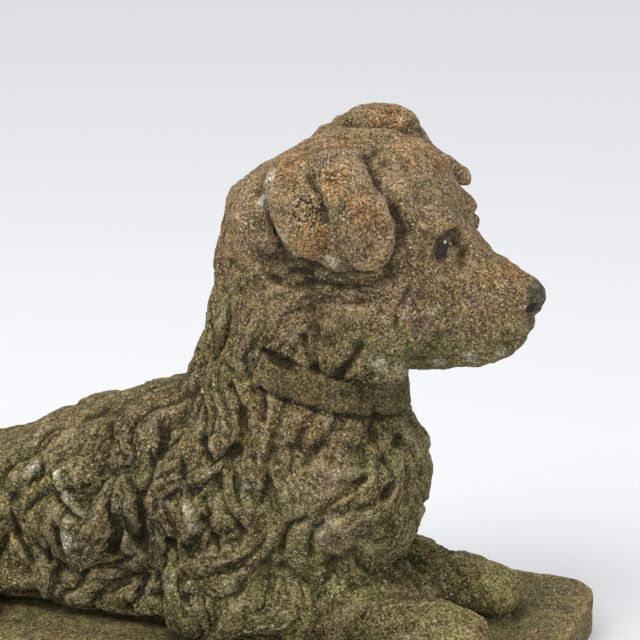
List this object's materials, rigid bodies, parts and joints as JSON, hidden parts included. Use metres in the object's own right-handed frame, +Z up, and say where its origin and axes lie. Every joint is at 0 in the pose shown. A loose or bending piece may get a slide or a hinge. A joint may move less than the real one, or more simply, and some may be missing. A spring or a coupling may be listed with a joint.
{
  "type": "stone terrier statue",
  "caption": "Weathered cast-stone statue of a long-haired terrier with drop ears and a collar, lying with its head up on a low plinth cast with it",
  "frame": {"origin": "centre of the plinth's underside", "axes": "+X the way the dog faces, +Y the dog's left, +Z up"},
  "size_m": [0.58, 0.252, 0.3989],
  "materials": {
    "weathered_stone": "rough and weathered, with moss and lichen"
  },
  "bodies": {
    "root": {"stone_terrier": "weathered_stone"}
  },
  "joints": []
}
